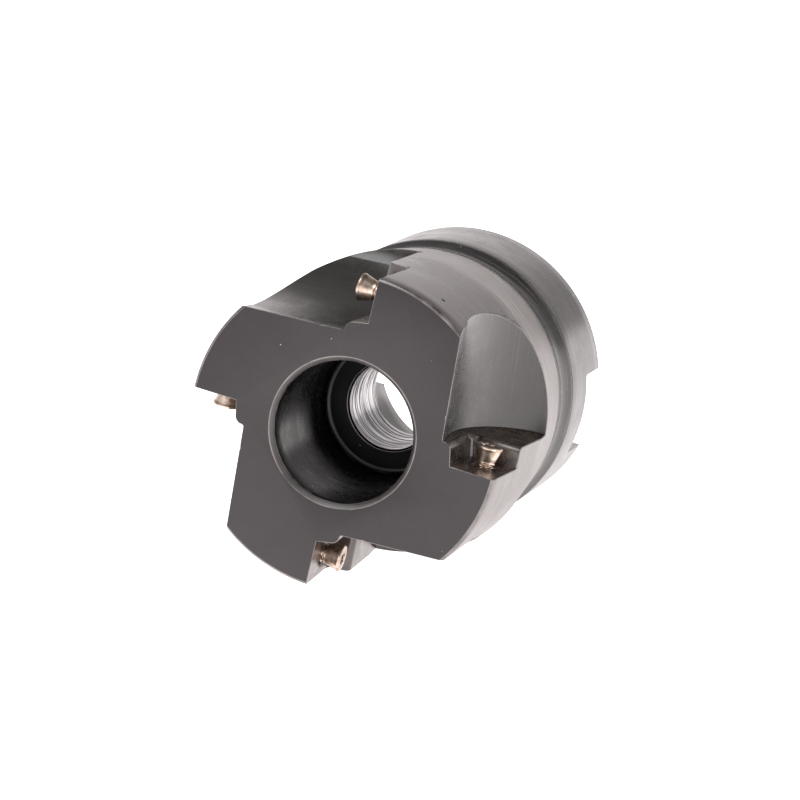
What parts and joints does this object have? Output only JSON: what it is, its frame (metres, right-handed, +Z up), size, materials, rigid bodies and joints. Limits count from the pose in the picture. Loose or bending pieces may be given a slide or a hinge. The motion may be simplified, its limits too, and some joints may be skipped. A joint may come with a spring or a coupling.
{
  "type": "face mill",
  "caption": "Shell-type shoulder face mill with open chip gullets, empty insert pockets with clamp screws, an arbor bore and cross drive slots.",
  "frame": {"origin": "on the surface it lies on, under the middle of its box", "axes": "+Y along the tool axis from the cutting face to the arbor face, +Z up, +X to the right as seen looking at the cutting face"},
  "size_m": [0.0384, 0.05, 0.0384],
  "materials": {
    "blackened_steel": "satin black oxide over turned and milled alloy steel, with light rubbed bands",
    "screw_steel": "bright warm-toned hardened screw steel"
  },
  "bodies": {
    "cutter": {"cutter_body": "blackened_steel"},
    "insert_screw_1": {"insert_screw_1": "screw_steel"},
    "insert_screw_2": {"insert_screw_2": "screw_steel"},
    "insert_screw_3": {"insert_screw_3": "screw_steel"},
    "insert_screw_4": {"insert_screw_4": "screw_steel"}
  },
  "joints": [
    {"name": "insert_screw_1_travel", "type": "slide", "parent": "cutter", "child": "insert_screw_1", "axis": [0.4532, 0.0576, 0.8895], "range_m": [-0.0008, 0.0045]},
    {"name": "insert_screw_2_travel", "type": "slide", "parent": "cutter", "child": "insert_screw_2", "axis": [0.8895, 0.0576, -0.4532], "range_m": [-0.0008, 0.0045]},
    {"name": "insert_screw_3_travel", "type": "slide", "parent": "cutter", "child": "insert_screw_3", "axis": [-0.4532, 0.0576, -0.8895], "range_m": [-0.0008, 0.0045]},
    {"name": "insert_screw_4_travel", "type": "slide", "parent": "cutter", "child": "insert_screw_4", "axis": [-0.8895, 0.0576, 0.4532], "range_m": [-0.0019, 0.0034]}
  ]
}
